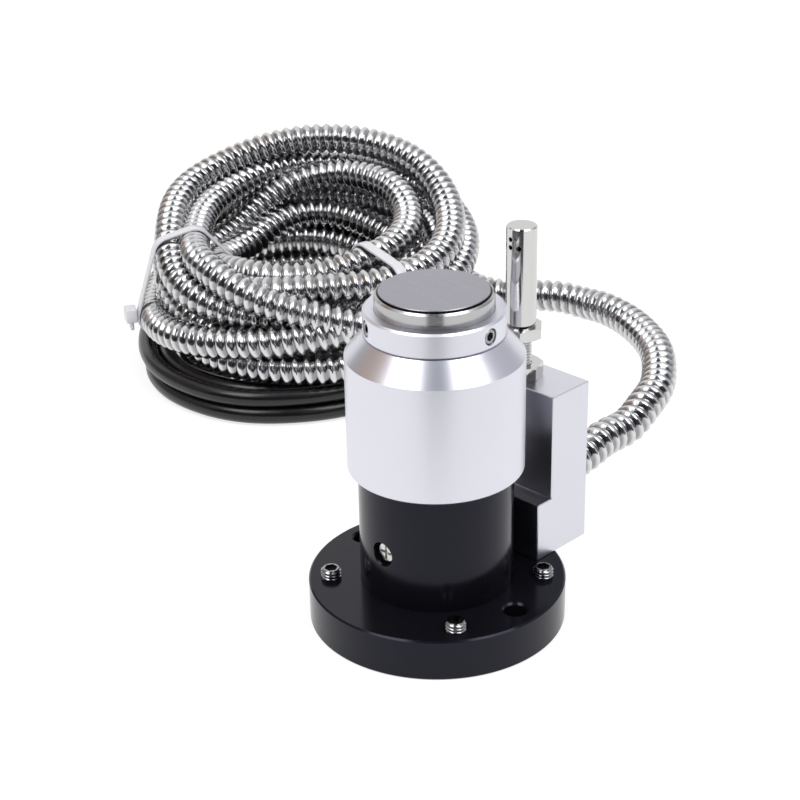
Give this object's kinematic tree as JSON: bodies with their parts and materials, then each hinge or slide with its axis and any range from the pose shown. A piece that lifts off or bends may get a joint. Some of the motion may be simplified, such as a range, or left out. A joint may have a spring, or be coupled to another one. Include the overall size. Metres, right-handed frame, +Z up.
{
  "type": "tool setter",
  "caption": "Plunger tool setter: round base, black barrel, sprung silver cap with a carbide touch disc, side block with an air nozzle and a coiled armoured lead.",
  "frame": {"origin": "centre of the base flange's underside, midway between the two mounting holes", "axes": "+Z up along the plunger, +X from the barrel to the side block"},
  "size_m": [0.1815, 0.226, 0.0927],
  "materials": {
    "black_anodised": "satin black anodised",
    "silver_anodised": "fine matt clear anodised",
    "polished_steel": "polished",
    "screw_steel": "bright stainless",
    "carbide": "lapped",
    "bronze": "turned",
    "spring_steel": "ground",
    "seal_rubber": "matt",
    "board_green": "solder mask",
    "sensor_plastic": "moulded",
    "armour_steel": "bright stripwound stainless",
    "cable_black": "smooth jacket",
    "tie_clear": "translucent nylon"
  },
  "bodies": {
    "setter": {"base_flange": "black_anodised", "barrel": "black_anodised", "barrel_screws": "screw_steel", "bottom_cover": "black_anodised", "cover_screws": "screw_steel", "level_screws": "screw_steel", "barrel_lock_screw": "screw_steel", "guide_bush": "bronze", "wiper_seal": "seal_rubber", "return_spring": "spring_steel", "sensor_board": "board_green", "slot_sensor": "sensor_plastic", "side_block": "silver_anodised", "block_screws": "screw_steel", "wire_sleeve": "seal_rubber", "conduit_gland": "screw_steel", "nozzle_lock_nut": "polished_steel", "armour_lead": "armour_steel", "armour_coil": "armour_steel", "armour_ferrule": "armour_steel", "cable_coil": "cable_black", "cable_ties": "tie_clear"},
    "plunger": {"cap": "silver_anodised", "clamp_collar": "silver_anodised", "collar_set_screws": "screw_steel", "anvil_holder": "polished_steel", "carbide_disc": "carbide", "plunger_shaft": "spring_steel", "shaft_retainer": "spring_steel", "sensor_flag": "sensor_plastic"},
    "nozzle": {"nozzle_tube": "polished_steel", "nozzle_nut": "polished_steel", "nozzle_stud": "screw_steel"}
  },
  "joints": [
    {"name": "plunger_press", "type": "slide", "parent": "setter", "child": "plunger", "axis": [0, 0, 1], "range_m": [-0.005, 0], "stiffness_N_per_m": 300, "springref_m": 0.01, "deforming": ["return_spring"]},
    {"name": "nozzle_aim", "type": "hinge", "parent": "setter", "child": "nozzle", "pos_m": [0.0303, 0, 0.0536], "axis": [0, 0, 1], "range_deg": [-90, 90]}
  ]
}
